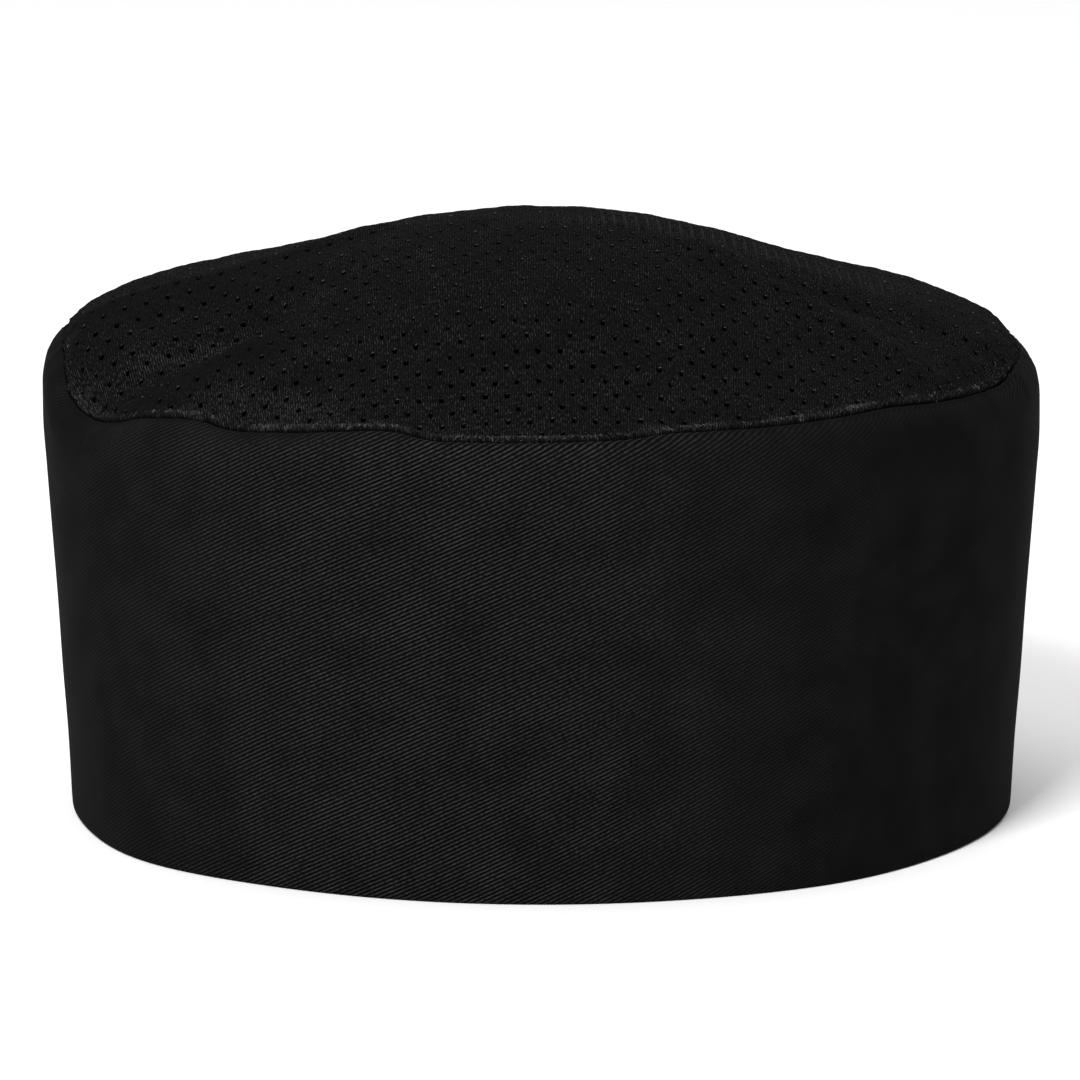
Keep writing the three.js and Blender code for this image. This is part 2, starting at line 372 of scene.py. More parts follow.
# How plainly the twill's lines show: a share all round, then azimuth, width in degrees and share gained up
# the front, as painted highlight where the key light's sheen falls, and the same with the share lost at the
# sides, as painted shade where that sheen falls off, and on part of the lip.
CRISP = 0.72
TWILL_HIGHLIGHT_GAIN = (-12, 36, 0.28)
UNLIT_TWILL_SIDES = ((49, 35, 0.66), (-70, 28, 0.6))
UNLIT_SIDES_POWER = 4
# The twill's lines fade on part of the lip, just under the seam.
SMOOTH_LIP = (-34, 14, 0.8)
SMOOTH_LIP_DEPTH = 2.2

# Slow unevenness of slack cloth: length of a wave, its heading in degrees, phase, share of the whole.
CLOTH_WAVES = ((14, 20, 0.3, 0.4), (19, 75, 1.9, 0.35), (27, 130, 4.0, 0.5), (11, 160, 2.2, 0.2))

# Small waves of the cloth: waves in a turn of the cap, phase, share of the whole.
EDGE_PUCKERS = ((61, 0.4, 0.5), (97, 2.1, 0.6), (143, 4.4, 0.35), (29, 1.1, 0.5))
EDGE_LUMPS = ((211, 0.2, 0.5), (337, 1.4, 0.5), (149, 3.3, 0.4))
BAND_WAVES = ((5, 0.6, 0.5), (9, 2.7, 0.35), (14, 5.1, 0.2))


def through(rows, column=1):
    """A smooth curve through a table's rows, with no overshoot between them."""
    x = np.array([row[0] for row in rows], float)
    y = np.array([row[column] for row in rows], float)
    step = np.diff(x)
    slope = np.diff(y) / step
    tangent = np.concatenate([slope[:1], np.zeros(len(x) - 2), slope[-1:]])
    for i in range(1, len(x) - 1):
        if slope[i - 1] * slope[i] > 0:
            before = 2 * step[i] + step[i - 1]
            after = step[i] + 2 * step[i - 1]
            tangent[i] = (before + after) / (before / slope[i - 1] + after / slope[i])

    def at(value):
        value = np.clip(value, x[0], x[-1])
        i = np.clip(np.searchsorted(x, value, "right") - 1, 0, len(step) - 1)
        t = (value - x[i]) / step[i]
        u = 1 - t
        start = (1 + 2 * t) * u * u * y[i] + t * u * u * step[i] * tangent[i]
        return start + t * t * (3 - 2 * t) * y[i + 1] - t * t * u * step[i] * tangent[i + 1]

    return at


def apart(azimuth, other):
    """Degrees from one azimuth to another, the short way round."""
    return (azimuth - other + TURN / 2) % TURN - TURN / 2


def bell(value, middle, width):
    """A share that fades from 1 at the middle."""
    return np.exp(-(((value - middle) / width) ** 2))


def near(azimuth, other, width):
    """A share that fades from 1 at the other azimuth."""
    return bell(apart(azimuth, other), 0, width)


flare_at = through(BAND_SECTIONS)
lift_at = through([(row[0] + turn, row[1]) for turn in (-TURN, 0, TURN) for row in SEAM_LIFTS])
crown_at = [through(CROWN_SECTIONS, side) for side in (1, 2, 3, 4)]


def waves(table, azimuth):
    """The sum of a table of small waves at an azimuth."""
    turn = np.radians(azimuth)
    return sum(share * np.sin(count * turn + phase) for count, phase, share in table)


def seam_height(azimuth):
    return BAND_HEIGHT + SEAM_WAVE * lift_at(azimuth)


def dent_at(azimuth, rise):
    share = 0
    for at, height, width, reach, depth in BAND_DENTS:
        away = (apart(azimuth, at) / width) ** 2 + ((rise - height) / reach) ** 2
        share = share + depth * np.exp(-away)
    return DENT_DEPTH * share


def puckers_at(azimuth, rise):
    """Small puckers that the sewing leaves below the seam, and the slow waves of the whole band."""
    below = (1 - rise) * BAND_HEIGHT
    leant = azimuth + PUCKER_LEAN * below / BAND_HEIGHT
    small = PUCKER * waves(EDGE_PUCKERS, leant) * bell(below, 0, PUCKER_REACH)
    slow = SLOW_WAVE * waves(BAND_WAVES, azimuth + WAVE_LEAN * rise) * np.sin(np.pi * np.clip(rise, 0, 1))
    return small + slow


def back_seam_at(azimuth):
    """The groove of the seam that closes the band at the back; the cloth swells on both sides of it."""
    away = np.radians(apart(azimuth, TURN / 2)) * HEM_DEPTH / 2
    groove = -BACK_SEAM_DEPTH * bell(away, 0, BACK_SEAM_WIDTH)
    return groove + BACK_SWELL * BACK_SEAM_DEPTH * bell(np.abs(away), BACK_SWELL_AWAY, BACK_SWELL_WIDTH)


def band_point(azimuth, rise, inset, height=None, relief=0.0):
    """A point of the band's outer face moved in by inset."""
    out = SHOULDER_FLARE * flare_at(rise) - dent_at(azimuth, rise) - inset + relief
    turn = np.radians(azimuth)
    z = seam_height(azimuth) * rise if height is None else height
    x = (HEM_WIDTH / 2 + out) * np.sin(turn)
    y = -(HEM_DEPTH / 2 + out) * np.cos(turn)
    return np.stack(np.broadcast_arrays(x, y, z), -1)


def wall_at(rise):
    share = np.clip((rise - ROLLED_FROM) / (1 - ROLLED_FROM), 0, 1)
    return BAND_WALL + (BAND_LIP - BAND_WALL) * share


def crown_share(azimuth, reach):
    turn = np.radians(azimuth)
    front, right, back, left = (side(reach) for side in crown_at)
    lengthwise = np.where(np.cos(turn) > 0, front, back)
    crosswise = np.where(np.sin(turn) > 0, right, left)
    return lengthwise * np.cos(turn) ** 2 + crosswise * np.sin(turn) ** 2


def along_lines(x, y, lines):
    """The sum of a table of lines in plan, each fading to its sides."""
    share = 0
    for from_x, from_y, to_x, to_y, width, lift in lines:
        start = np.array([from_x * HEM_WIDTH / 2, from_y * HEM_DEPTH / 2])
        run = np.array([to_x * HEM_WIDTH / 2, to_y * HEM_DEPTH / 2]) - start
        t = np.clip(((x - start[0]) * run[0] + (y - start[1]) * run[1]) / (run @ run), 0, 1)
        away = np.hypot(x - start[0] - t * run[0], y - start[1] - t * run[1])
        share = share + lift * np.exp(-LINE_FADE * (away / (width * FOLD_WIDTH)) ** 2)
    return share


def fold_at(x, y, reach):
    return FOLD_HEIGHT * along_lines(x, y, CROWN_FOLDS) * (1 - reach**FOLD_END_POWER)


def crown_point(azimuth, reach):
    """A point of the crown's outer face."""
    rim = band_point(azimuth, 1.0, RIM_INSET, relief=puckers_at(azimuth, 1.0))
    x = PEAK_X * HEM_WIDTH / 2 * (1 - reach) + rim[..., 0] * reach
    y = PEAK_Y * HEM_DEPTH / 2 * (1 - reach) + rim[..., 1] * reach
    z = BAND_HEIGHT + (rim[..., 2] - BAND_HEIGHT) * reach**SEAM_WAVE_POWER
    z = z + CROWN_RISE * crown_share(azimuth, reach) + fold_at(x, y, reach)
    return np.stack([x, y, z], -1)


def new_object(name, points, faces, node=None):
    """A smooth mesh object that rides on the cap."""
    mesh = bpy.data.meshes.new(name)
    mesh.from_pydata((np.asarray(points) * MM).tolist(), [], faces)
    mesh.polygons.foreach_set("use_smooth", np.ones(len(mesh.polygons), bool))
    mesh.update()
    made = bpy.data.objects.new(name, mesh)
    bpy.context.scene.collection.objects.link(made)
    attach(made, "root")
    if node:
        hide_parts(node)
    return made


def add_map(made, places):
    """Gives a mesh its cloth coordinates in metres, one pair for each corner of its faces."""
    layer = made.data.uv_layers.new(name="cloth")
    layer.uv.foreach_set("vector", (np.asarray(places) * MM).astype(np.float32).ravel())


def add_share(made, shares, name="share"):
    """Gives each point of a mesh its own number, which the cloth's material reads."""
    layer = made.data.attributes.new(name, "FLOAT", "POINT")
    layer.data.foreach_set("value", np.asarray(shares, np.float32))


def corner_vertices(mesh):
    found = np.zeros(len(mesh.loops), np.int32)
    mesh.loops.foreach_get("vertex_index", found)
    return found


# The band: a loop of sections round its wall, swept round the cap.
def band_sections():
    """The wall's section, from the hem's inner edge round the fold, up outside, over the lip and down inside.

    Each point has its rise, inset from the outer face, height, place along the cloth, and 1 where its height
    is over the seam's."""
    half = BAND_WALL / 2
    lip = BAND_LIP / 2
    under = (math.pi - 2) * half
    sections = []
    for turn in np.linspace(0, math.pi, HEM_TURNS):
        along = half * (1 + turn - math.pi)
        sections.append((0.0, half + half * math.cos(turn), half - half * math.sin(turn), along, 0))
    for rise in np.concatenate([np.linspace(*levels) for levels in OUTER_RISES]):
        sections.append((rise, 0.0, None, rise * BAND_HEIGHT, 0))
    for turn in np.linspace(0, math.pi, LIP_TURNS):
        along = BAND_HEIGHT + lip * (turn - 1)
        sections.append((1.0, lip - lip * math.cos(turn), lip * math.sin(turn), along, 1))
    for rise in np.linspace(*INNER_RISES):
        sections.append((rise, float(wall_at(rise)), None, -under - rise * BAND_HEIGHT, 0))
    return sections


def make_band():
    spread = np.linspace(-TURN / 2, TURN / 2, BAND_COLUMNS + 1)[:-1]
    spread = spread[np.abs(apart(spread, TURN / 2)) > BACK_SEAM_SPARED]
    at_seam = np.linspace(-BACK_SEAM_REACH, BACK_SEAM_REACH, BACK_SEAM_COLUMNS)
    near_seam = np.degrees(at_seam / (HEM_DEPTH / 2)) + TURN / 2
    azimuth = np.sort(np.concatenate([spread, apart(near_seam, 0)]))
    points = []
    climb = []
    contrast_and_sheen = []
    for rise, inset, height, along, at_lip in band_sections():
        relief = puckers_at(azimuth, rise) + back_seam_at(azimuth)
        z = None
        if height is not None:
            z = height + at_lip * (seam_height(azimuth) - BAND_LIP / 2)
        points.append(band_point(azimuth, rise, inset, z, relief))
        climb.append(along + rise * (seam_height(azimuth) - BAND_HEIGHT))
        contrast_and_sheen.append(twill_line_sheen(azimuth, rise))
    points = np.stack(points, 1)
    climb = np.stack(climb, 1)
    columns, rows = points.shape[:2]
    middle = band_point(azimuth, 0.5, 0)
    around = np.append(0, np.cumsum(np.linalg.norm(np.diff(middle, axis=0), axis=1)))
    around = np.append(around, around[-1] + np.linalg.norm(middle[0] - middle[-1]))
    faces = []
    places = []
    for i in range(columns):
        j = (i + 1) % columns
        for k in range(rows):
            m = (k + 1) % rows
            faces.append((i * rows + k, j * rows + k, j * rows + m, i * rows + m))
            places += [
                (around[i], climb[i, k]),
                (around[i + 1], climb[j, k]),
                (around[i + 1], climb[j, m]),
                (around[i], climb[i, m]),
            ]
    made = new_object("twill_band", points.reshape(-1, 3), faces, "side_band")
    add_map(made, places)
    # Each point's share of the twill's contrast, with its painted highlight up the front and painted shade at
    # the sides.
    add_share(made, np.stack(contrast_and_sheen, 1).ravel())
    return made


def twill_line_sheen(azimuth, rise):
    """How plainly the twill's lines show: plainest up the front, as painted highlight, least at the sides, as
    painted shade, and less on part of the lip.
    """
    below = (1 - rise) * BAND_HEIGHT
    at, width, gained = TWILL_HIGHLIGHT_GAIN
    share = CRISP + gained * near(azimuth, at, width)
    for at, width, lost in UNLIT_TWILL_SIDES:
        share = share - lost * np.exp(-((apart(azimuth, at) / width) ** UNLIT_SIDES_POWER))
    at, width, lost = SMOOTH_LIP
    return share * (1 - lost * bell(below, 0, SMOOTH_LIP_DEPTH) * near(azimuth, at, width))


# The crown's cloth lies flat in these coordinates: away from the peak by its length over the dome.
AZIMUTHS = np.linspace(-TURN / 2, TURN / 2, DOME_COLUMNS + 1)
REACHES = np.linspace(0, 1, DOME_ROWS + 1)
grid_azimuth, grid_reach = np.meshgrid(AZIMUTHS, REACHES, indexing="ij")
dome = crown_point(grid_azimuth, grid_reach)
lengths = np.cumsum(np.linalg.norm(np.diff(dome, axis=1), axis=2), axis=1)
lengths = np.concatenate([np.zeros((len(AZIMUTHS), 1)), lengths], 1)
headings = np.unwrap(np.arctan2(dome[:, -1, 0] - dome[:, 0, 0], dome[:, 0, 1] - dome[:, -1, 1]))


def on_dome(flat):
    """Azimuth and reach of points of the flat cloth, and how far each is from the seam."""
    away = np.hypot(flat[:, 0], flat[:, 1])
    heading = np.arctan2(flat[:, 0], -flat[:, 1])
    heading = headings[0] + (heading - headings[0]) % (2 * math.pi)
    at = np.interp(heading, headings, np.arange(len(AZIMUTHS)))
    low = np.clip(at.astype(int), 0, len(AZIMUTHS) - 2)
    share = at - low
    own = lengths[low] * (1 - share)[:, None] + lengths[low + 1] * share[:, None]
    left = own[:, -1] - away
    index = np.clip((own < away[:, None]).sum(1) - 1, 0, len(REACHES) - 2)
    row = np.arange(len(flat))
    span = own[row, index + 1] - own[row, index]
    reach = REACHES[index] + (REACHES[1] - REACHES[0]) * np.clip((away - own[row, index]) / span, 0, 1)
    azimuth = AZIMUTHS[low] * (1 - share) + AZIMUTHS[low + 1] * share
    return azimuth, reach, left


def lattice():
    """Middles of the holes on the flat cloth, and whether a loop of yarn stands over each one's far end."""
    lean = math.radians(LATTICE_LEAN)
    reach = int(lengths[:, -1].max() / min(HOLE_PITCH, ROW_PITCH)) + 2
    middles = []
    looped = []
    for row in range(-reach, reach + 1):
        for hole in range(-reach, reach + 1):
            x = (hole + 0.5 * (row % 2)) * HOLE_PITCH + FIRST_HOLE
            y = row * ROW_PITCH + FIRST_ROW
            middles.append((x * math.cos(lean) - y * math.sin(lean), x * math.sin(lean) + y * math.cos(lean)))
            looped.append(row % 2 == 0)
    return np.array(middles), np.array(looped)


rng = np.random.default_rng(SEED)


def ring(middle, scale, count, phase=0.0):
    """Points on an oval round a hole's middle."""
    turn = np.linspace(0, 2 * math.pi, count, endpoint=False) + phase
    oval = np.stack([scale * HOLE_WIDTH / 2 * np.cos(turn), scale * HOLE_LENGTH / 2 * np.sin(turn)], -1)
    return middle + oval


def face_normals(points, faces):
    a, b, c = (points[faces[:, k]] for k in range(3))
    return np.cross(b - a, c - a)


def vertex_normals(points, faces):
    total = np.zeros_like(points)
    facing = face_normals(points, faces)
    for k in range(3):
        np.add.at(total, faces[:, k], facing)
    return total / np.linalg.norm(total, axis=1, keepdims=True)


def closed_at(middles):
    """How far the holes are closed, as a share of their size."""
    azimuth, reach, _ = on_dome(middles)
    found = crown_point(azimuth, reach)
    return along_lines(found[:, 0], found[:, 1], CLOSED)


def from_hole(flat, middles, sizes):
    """How far points are from the middle of the nearest hole: 1 at its edge."""
    cell = nearest(flat, middles)
    shift = (flat - middles[cell]) / (np.array([HOLE_WIDTH, HOLE_LENGTH]) / 2 * sizes[cell][:, None])
    return np.hypot(shift[:, 0], shift[:, 1])


def make_crown():
    middles, looped = lattice()
    middles = middles + rng.uniform(-HOLE_JITTER, HOLE_JITTER, middles.shape)
    left = on_dome(middles)[2]
    inside = left > EDGE_MARGIN + HOLE_LENGTH / 2
    middles, looped = middles[inside], looped[inside]
    closed = closed_at(middles)
    sizes = rng.uniform(*HOLE_SIZES, len(middles)) * (1 - closed)

    rim_azimuth = np.linspace(-TURN / 2, TURN / 2, RIM_COLUMNS, endpoint=False)
    at = np.interp(rim_azimuth, AZIMUTHS, np.arange(len(AZIMUTHS)))
    rim_length = np.interp(at, np.arange(len(AZIMUTHS)), lengths[:, -1])
    heading = np.interp(at, np.arange(len(AZIMUTHS)), headings)
    outward = np.stack([np.sin(heading), -np.cos(heading)], -1)

    flat = [ring(m, s, HOLE_SIDES) for m, s in zip(middles, sizes)]
    hole_edges = []
    for k in range(len(flat)):
        start = k * HOLE_SIDES
        hole_edges += [(start + i, start + (i + 1) % HOLE_SIDES) for i in range(HOLE_SIDES)]
    flat += [ring(m, s * HOLE_COLLAR, HOLE_SIDES, math.pi / HOLE_SIDES) for m, s in zip(middles, sizes)]
    between = [m + np.array([HOLE_PITCH / 2, 0]) for m in middles]
    between += [m + np.array([HOLE_PITCH / 4, ROW_PITCH / 2]) for m in middles]
    between += [m + np.array([-HOLE_PITCH / 4, ROW_PITCH / 2]) for m in middles]
    between = np.array(between)
    between = between[on_dome(between)[2] > BETWEEN_MARGIN]
    flat.append(between)
    rim_start = sum(len(part) for part in flat)
    for margin in RIM_MARGINS:
        flat.append(outward * (rim_length - margin)[:, None])
    rim_edges = [(rim_start + i, rim_start + (i + 1) % RIM_COLUMNS) for i in range(RIM_COLUMNS)]
    flat = np.concatenate(flat)

    corners = [Vector(p) for p in flat.tolist()]
    found = delaunay_2d_cdt(corners, hole_edges + rim_edges, [], 0, MERGE_REACH)
    flat = np.array([tuple(p) for p in found[0]])
    faces = np.array([face for face in found[2] if len(face) == 3])
    centre = flat[faces].mean(1)
    keep = on_dome(centre)[2] > -RIM_SLIP
    keep &= from_hole(centre, middles, sizes) > math.cos(math.pi / HOLE_SIDES) * CHORD_SLIP
    faces = faces[keep]
    used, inverse = np.unique(faces, return_inverse=True)
    flat, faces = flat[used], inverse.reshape(faces.shape)

    azimuth, reach, left = on_dome(flat)
    surface = crown_point(azimuth, reach)
    if face_normals(surface, faces)[:, 2].sum() < 0:
        faces = faces[:, ::-1]
    normal = vertex_normals(surface, faces)
    ringed = from_hole(flat, middles, sizes)
    relief = COLLAR_SWELL * bell(ringed, COLLAR_AWAY, COLLAR_WIDTH)
    relief = relief - HOLE_SINK * bell(ringed, 1.0, HOLE_SINK_WIDTH)
    gather = GATHER * waves(EDGE_PUCKERS, azimuth + GATHER_SHIFT) * bell(left, 0, GATHER_REACH)
    lumps = 1 + LUMPINESS * waves(EDGE_LUMPS, azimuth)
    gather = gather + lumps * swell_at(left)
    slack = SLACK * cloth_noise(flat)
    fade = np.clip(left / EDGE_FADE, 0, 1)
    outer = surface + normal * ((relief + slack) * fade + gather * np.clip(left / EDGE_RISE, 0, 1))[:, None]
    inner = surface - normal * KNIT_WALL
    turn = np.radians(azimuth)
    over = lumps * overhang_at(left)
    outer[:, 0] += over * np.sin(turn)
    outer[:, 1] -= over * np.cos(turn)
    sunk = EDGE_SINK * bell(left, 0, EDGE_SINK_WIDTH)
    outer[:, 2] -= sunk
    inner[:, 2] -= sunk
    made = finish_crown(flat, faces, outer, inner, azimuth, left)
    tone = TUFT_TONE * tufts_at(azimuth) * bell(left, TUFT_AWAY, TUFT_WIDTH)
    # Painted light and shade of the folds, added to the knit's tone.
    tone = tone + along_lines(surface[:, 0], surface[:, 1], FOLD_LIGHT_AND_SHADE)
    # Painted shadow in the ditch under the knit's edge.
    tone = tone - DITCH_SHADE * ditch_shade_at(azimuth) / (1 + np.exp((left - DITCH_SHADE_WIDTH) / DITCH_SHADE_SOFTNESS))
    # Painted light: the holes' walls, deep in their shade, are made paler.
    wall_light = HOLE_WALL_LIGHT * bell(ringed, 1, HOLE_WALL_LIGHT_WIDTH)
    turned = np.zeros(len(made.data.vertices) - 2 * len(flat))
    add_share(made, np.concatenate([tone, wall_light, turned]))
    # The wales' contrast, with painted highlight and shade on the folds.
    contrast_and_sheen = KNIT_CRISP + along_lines(surface[:, 0], surface[:, 1], LIT_WALES)
    add_share(made, np.concatenate([contrast_and_sheen, contrast_and_sheen, turned + KNIT_CRISP]), "contrast_and_sheen")
    gleam = along_lines(surface[:, 0], surface[:, 1], GLEAMING)
    add_share(made, np.concatenate([gleam, gleam, turned]), "gleam")
    return made, middles, looped, sizes


def swell_at(left):
    """How far the knit stands up at its edge, where the stitches gather it."""
    return EDGE_SWELL * bell(left, EDGE_SWELL_AWAY, EDGE_SWELL_WIDTH)


def overhang_at(left):
    """How far the knit leans out over its seam."""
    return EDGE_OVERHANG * bell(left, EDGE_OVERHANG_AWAY, EDGE_OVERHANG_WIDTH)


def tufts_at(azimuth):
    """How rough the knit's edge is, as a share of the roughest."""
    return TUFT_LEAST + (1 - TUFT_LEAST) * sum(near(azimuth, at, width) for at, width, _ in TUFTS)


def ditch_shade_at(azimuth):
    """How deep the painted shadow is in the ditch under the knit's edge."""
    return DITCH_SHADE_LEAST + sum(share * near(azimuth, at, width) for at, width, share in DITCH_SHADES)


def cloth_noise(flat):
    """Slow unevenness of slack cloth, from a few crossed waves."""
    x, y = flat[:, 0], flat[:, 1]
    total = 0
    for wave, heading, phase, share in CLOTH_WAVES:
        turn = math.radians(heading)
        total = total + share * np.sin(2 * math.pi * (x * math.cos(turn) + y * math.sin(turn)) / wave + phase)
    return total


def nearest(points, middles):
    """Index of the nearest hole to each point."""
    found = np.zeros(len(points), int)
    for start in range(0, len(points), NEAREST_CHUNK):
        part = points[start : start + NEAREST_CHUNK]
        gap = ((part[:, None] - middles[None]) ** 2).sum(-1)
        found[start : start + NEAREST_CHUNK] = gap.argmin(1)
    return found


def finish_crown(flat, faces, outer, inner, azimuth, left):
    """Closes the outer and inner sheets round the holes, and along the edge turned down inside the band."""
    directed = np.concatenate([faces[:, [0, 1]], faces[:, [1, 2]], faces[:, [2, 0]]])
    key = directed.min(1) * len(flat) + directed.max(1)
    _, index, count = np.unique(key, return_index=True, return_counts=True)
    border = directed[index[count == 1]]
    on_rim = (left[border] < RIM_REACH).all(1)
    size = len(flat)
    points = [outer, inner]
    quads = [tuple(face) for face in faces.tolist()]
    quads += [tuple(size + v for v in reversed(face)) for face in faces.tolist()]
    for a, b in border[~on_rim].tolist():
        quads.append((b, a, size + a, size + b))
    rim = np.unique(border[on_rim])
    levels = []
    for rises, inset in ((TURNED_RISES, 0.0), (TURNED_RISES[::-1], KNIT_WALL)):
        for rise in rises:
            own = wall_at(rise) + SEAM_CLEARANCE + inset
            relief = puckers_at(azimuth[rim], rise)
            levels.append(band_point(azimuth[rim], rise, own, relief=relief))
    where = {v: i for i, v in enumerate(rim.tolist())}
    start = 2 * size
    for level in levels:
        points.append(level)
    for a, b in border[on_rim].tolist():
        last_a, last_b = a, b
        for k in range(len(levels)):
            next_a = start + k * len(rim) + where[a]
            next_b = start + k * len(rim) + where[b]
            quads.append((last_b, last_a, next_a, next_b))
            last_a, last_b = next_a, next_b
        quads.append((last_b, last_a, size + a, size + b))
    turned = [flat[rim] * (1 + TURNED_STEP * (k + 1)) for k in range(len(levels))]
    places = np.concatenate([flat, flat] + turned)
    made = new_object("knit_crown", np.concatenate(points), quads, "crown")
    add_map(made, places[corner_vertices(made.data)])
    return made


def tube(path, radius, sides):
    """Points and faces of a round thread along a path."""
    path = np.asarray(path, float)
    ahead = np.roll(path, -1, 0) - np.roll(path, 1, 0)
    ahead[0] = path[1] - path[0]
    ahead[-1] = path[-1] - path[-2]
    ahead /= np.linalg.norm(ahead, axis=1, keepdims=True)
    up = np.array([0.0, 0.0, 1.0])
    side = np.cross(ahead, up)
    side /= np.linalg.norm(side, axis=1, keepdims=True) + TINY
    top = np.cross(side, ahead)
    turn = np.linspace(0, 2 * math.pi, sides, endpoint=False)
    radius = np.broadcast_to(radius, len(path))
    points = path[:, None] + radius[:, None, None] * (
        np.cos(turn)[None, :, None] * side[:, None] + np.sin(turn)[None, :, None] * top[:, None]
    )
    faces = []
    count = len(path)
    for i in range(count - 1):
        j = i + 1
        for k in range(sides):
            m = (k + 1) % sides
            faces.append((i * sides + k, i * sides + m, j * sides + m, j * sides + k))
    faces.append(tuple(range(sides))[::-1])
    faces.append(tuple((count - 1) * sides + k for k in range(sides)))
    return points.reshape(-1, 3), faces


def joined(parts):
    """Several point and face lists as one."""
    points = []
    faces = []
    start = 0
    for own, own_faces in parts:
        points.append(own)
        faces += [tuple(start + v for v in face) for face in own_faces]
        start += len(own)
    return np.concatenate(points), faces


def place(flat, lift):
    """Points of the flat cloth on the dome, raised by lift."""
    azimuth, reach, _ = on_dome(flat)
    here = crown_point(azimuth, reach)
    azimuth, reach, _ = on_dome(flat + np.array([SLOPE_STEP, 0]))
    along = crown_point(azimuth, reach) - here
    azimuth, reach, _ = on_dome(flat + np.array([0, SLOPE_STEP]))
    across = crown_point(azimuth, reach) - here
    normal = np.cross(along, across)
    normal /= np.linalg.norm(normal, axis=1, keepdims=True)
    return here + normal * np.reshape(lift, (-1, 1)) + normal * (SLACK * cloth_noise(flat))[:, None]


def make_loops(middles, looped, sizes):
    """The yarn that stands along the far end of each hole, fuller in every second row."""
    parts = []
    fullness = np.where(looped, 1.0, SLIGHT_LOOP)
    across = np.linspace(-1, 1, LOOP_POINTS)
    for middle, size, full in zip(middles, sizes, fullness):
        tilt = rng.uniform(*LOOP_TILTS)
        long = rng.uniform(*LOOP_LENGTHS) * full
        x = middle[0] + LOOP_ASIDE + across * long * size
        y = middle[1] + HOLE_LENGTH / 2 * size * LOOP_PLACE + tilt * across
        path = place(np.stack([x, y], -1), LOOP_ARCH * (1 - across**2) - LOOP_SINK)
        radius = rng.uniform(*LOOP_RADII) * full * (1 - LOOP_TAPER * across**2)
        parts.append(tube(path, radius, LOOP_SIDES))
    points, faces = joined(parts)
    made = new_object("eyelet_loops", points, faces)
    # Painted sheen: the loops are paler than the knit, most in the fuller rows.
    tone = rng.uniform(*LOOP_TONES, len(middles)) * fullness + closed_at(middles)
    add_share(made, np.repeat(tone, len(points) // len(middles)))
    return made


def make_seam():
    """The overlocked edge of the knit where it meets the band: short loops of thread in every direction."""
    parts = []
    azimuth = rng.uniform(-TURN / 2, TURN / 2, FIBRES)
    first = 0
    for at, width, share in TUFTS:
        last = first + int(share * FIBRES)
        azimuth[first:last] = rng.normal(at, width / math.sqrt(2), last - first)
        first = last
    turn_in = rng.uniform(*FIBRE_PLACES, FIBRES)
    turn_in = turn_in + FIBRE_SPREAD * rng.random(FIBRES) * np.clip(tufts_at(azimuth), 0, 1)
    tone = rng.random(FIBRES)
    rim = crown_point(azimuth, np.ones(FIBRES))
    inner = crown_point(azimuth, np.full(FIBRES, JUST_INSIDE))
    inward = inner - rim
    inward /= np.linalg.norm(inward, axis=1, keepdims=True)
    aside = np.stack([np.cos(np.radians(azimuth)), np.sin(np.radians(azimuth)), np.zeros(FIBRES)], -1)
    along = np.linspace(-1, 1, FIBRE_POINTS)[:, None]
    for i in range(FIBRES):
        lean = rng.uniform(*FIBRE_LEANS)
        heading = inward[i] * math.cos(lean) + aside[i] * math.sin(lean)
        long = rng.uniform(*FIBRE_LENGTHS)
        lift = float(swell_at(turn_in[i])) + rng.uniform(*FIBRE_LIFTS)
        arch = np.array([0.0, 0.0, 1.0]) * (lift - FIBRE_ARCH * along**2)
        start = rim[i] + inward[i] * (turn_in[i] - float(overhang_at(turn_in[i])))
        path = start + heading * long * along + arch
        parts.append(tube(path, rng.uniform(*FIBRE_RADII), FIBRE_SIDES))
    points, faces = joined(parts)
    made = new_object("sewn_edge", points, faces)
    add_share(made, np.repeat(tone, len(points) // FIBRES))
    return made


def nodes_of(name):
    material = bpy.data.materials.new(name)
    material.use_nodes = True
    tree = material.node_tree
    shader = tree.nodes["Principled BSDF"]
    return material, tree, shader


def math_node(tree, operation, first, second=None, third=None):
    node = tree.nodes.new("ShaderNodeMath")
    node.operation = operation
    for socket, value in zip(node.inputs, (first, second, third)):
        if value is None:
            continue
        if isinstance(value, (int, float)):
            socket.default_value = value
        else:
            tree.links.new(value, socket)
    return node.outputs[0]


def noise_node(tree, vector, scale, detail=2.0):
    node = tree.nodes.new("ShaderNodeTexNoise")
    node.inputs["Scale"].default_value = scale
    node.inputs["Detail"].default_value = detail
    tree.links.new(vector, node.inputs["Vector"])
    return node.outputs["Fac"]


def map_range(tree, value, low, high, to_low, to_high):
    node = tree.nodes.new("ShaderNodeMapRange")
    tree.links.new(value, node.inputs["Value"])
    for name, number in (("From Min", low), ("From Max", high), ("To Min", to_low), ("To Max", to_high)):
        node.inputs[name].default_value = number
    return node.outputs["Result"]


def cloth_places(tree):
    """The cloth's own coordinates in millimetres: the whole vector, and its two parts."""
    uv = tree.nodes.new("ShaderNodeUVMap")
    uv.uv_map = "cloth"
    scaled = tree.nodes.new("ShaderNodeVectorMath")
    scaled.operation = "SCALE"
    scaled.inputs["Scale"].default_value = 1 / MM
    tree.links.new(uv.outputs["UV"], scaled.inputs[0])
    parts = tree.nodes.new("ShaderNodeSeparateXYZ")
    tree.links.new(scaled.outputs[0], parts.inputs[0])
    return scaled.outputs[0], parts.outputs["X"], parts.outputs["Y"]


def own_share(tree, name="share"):
    """The number that each point of the mesh carries."""
    node = tree.nodes.new("ShaderNodeAttribute")
    node.attribute_name = name
    return node.outputs["Fac"]


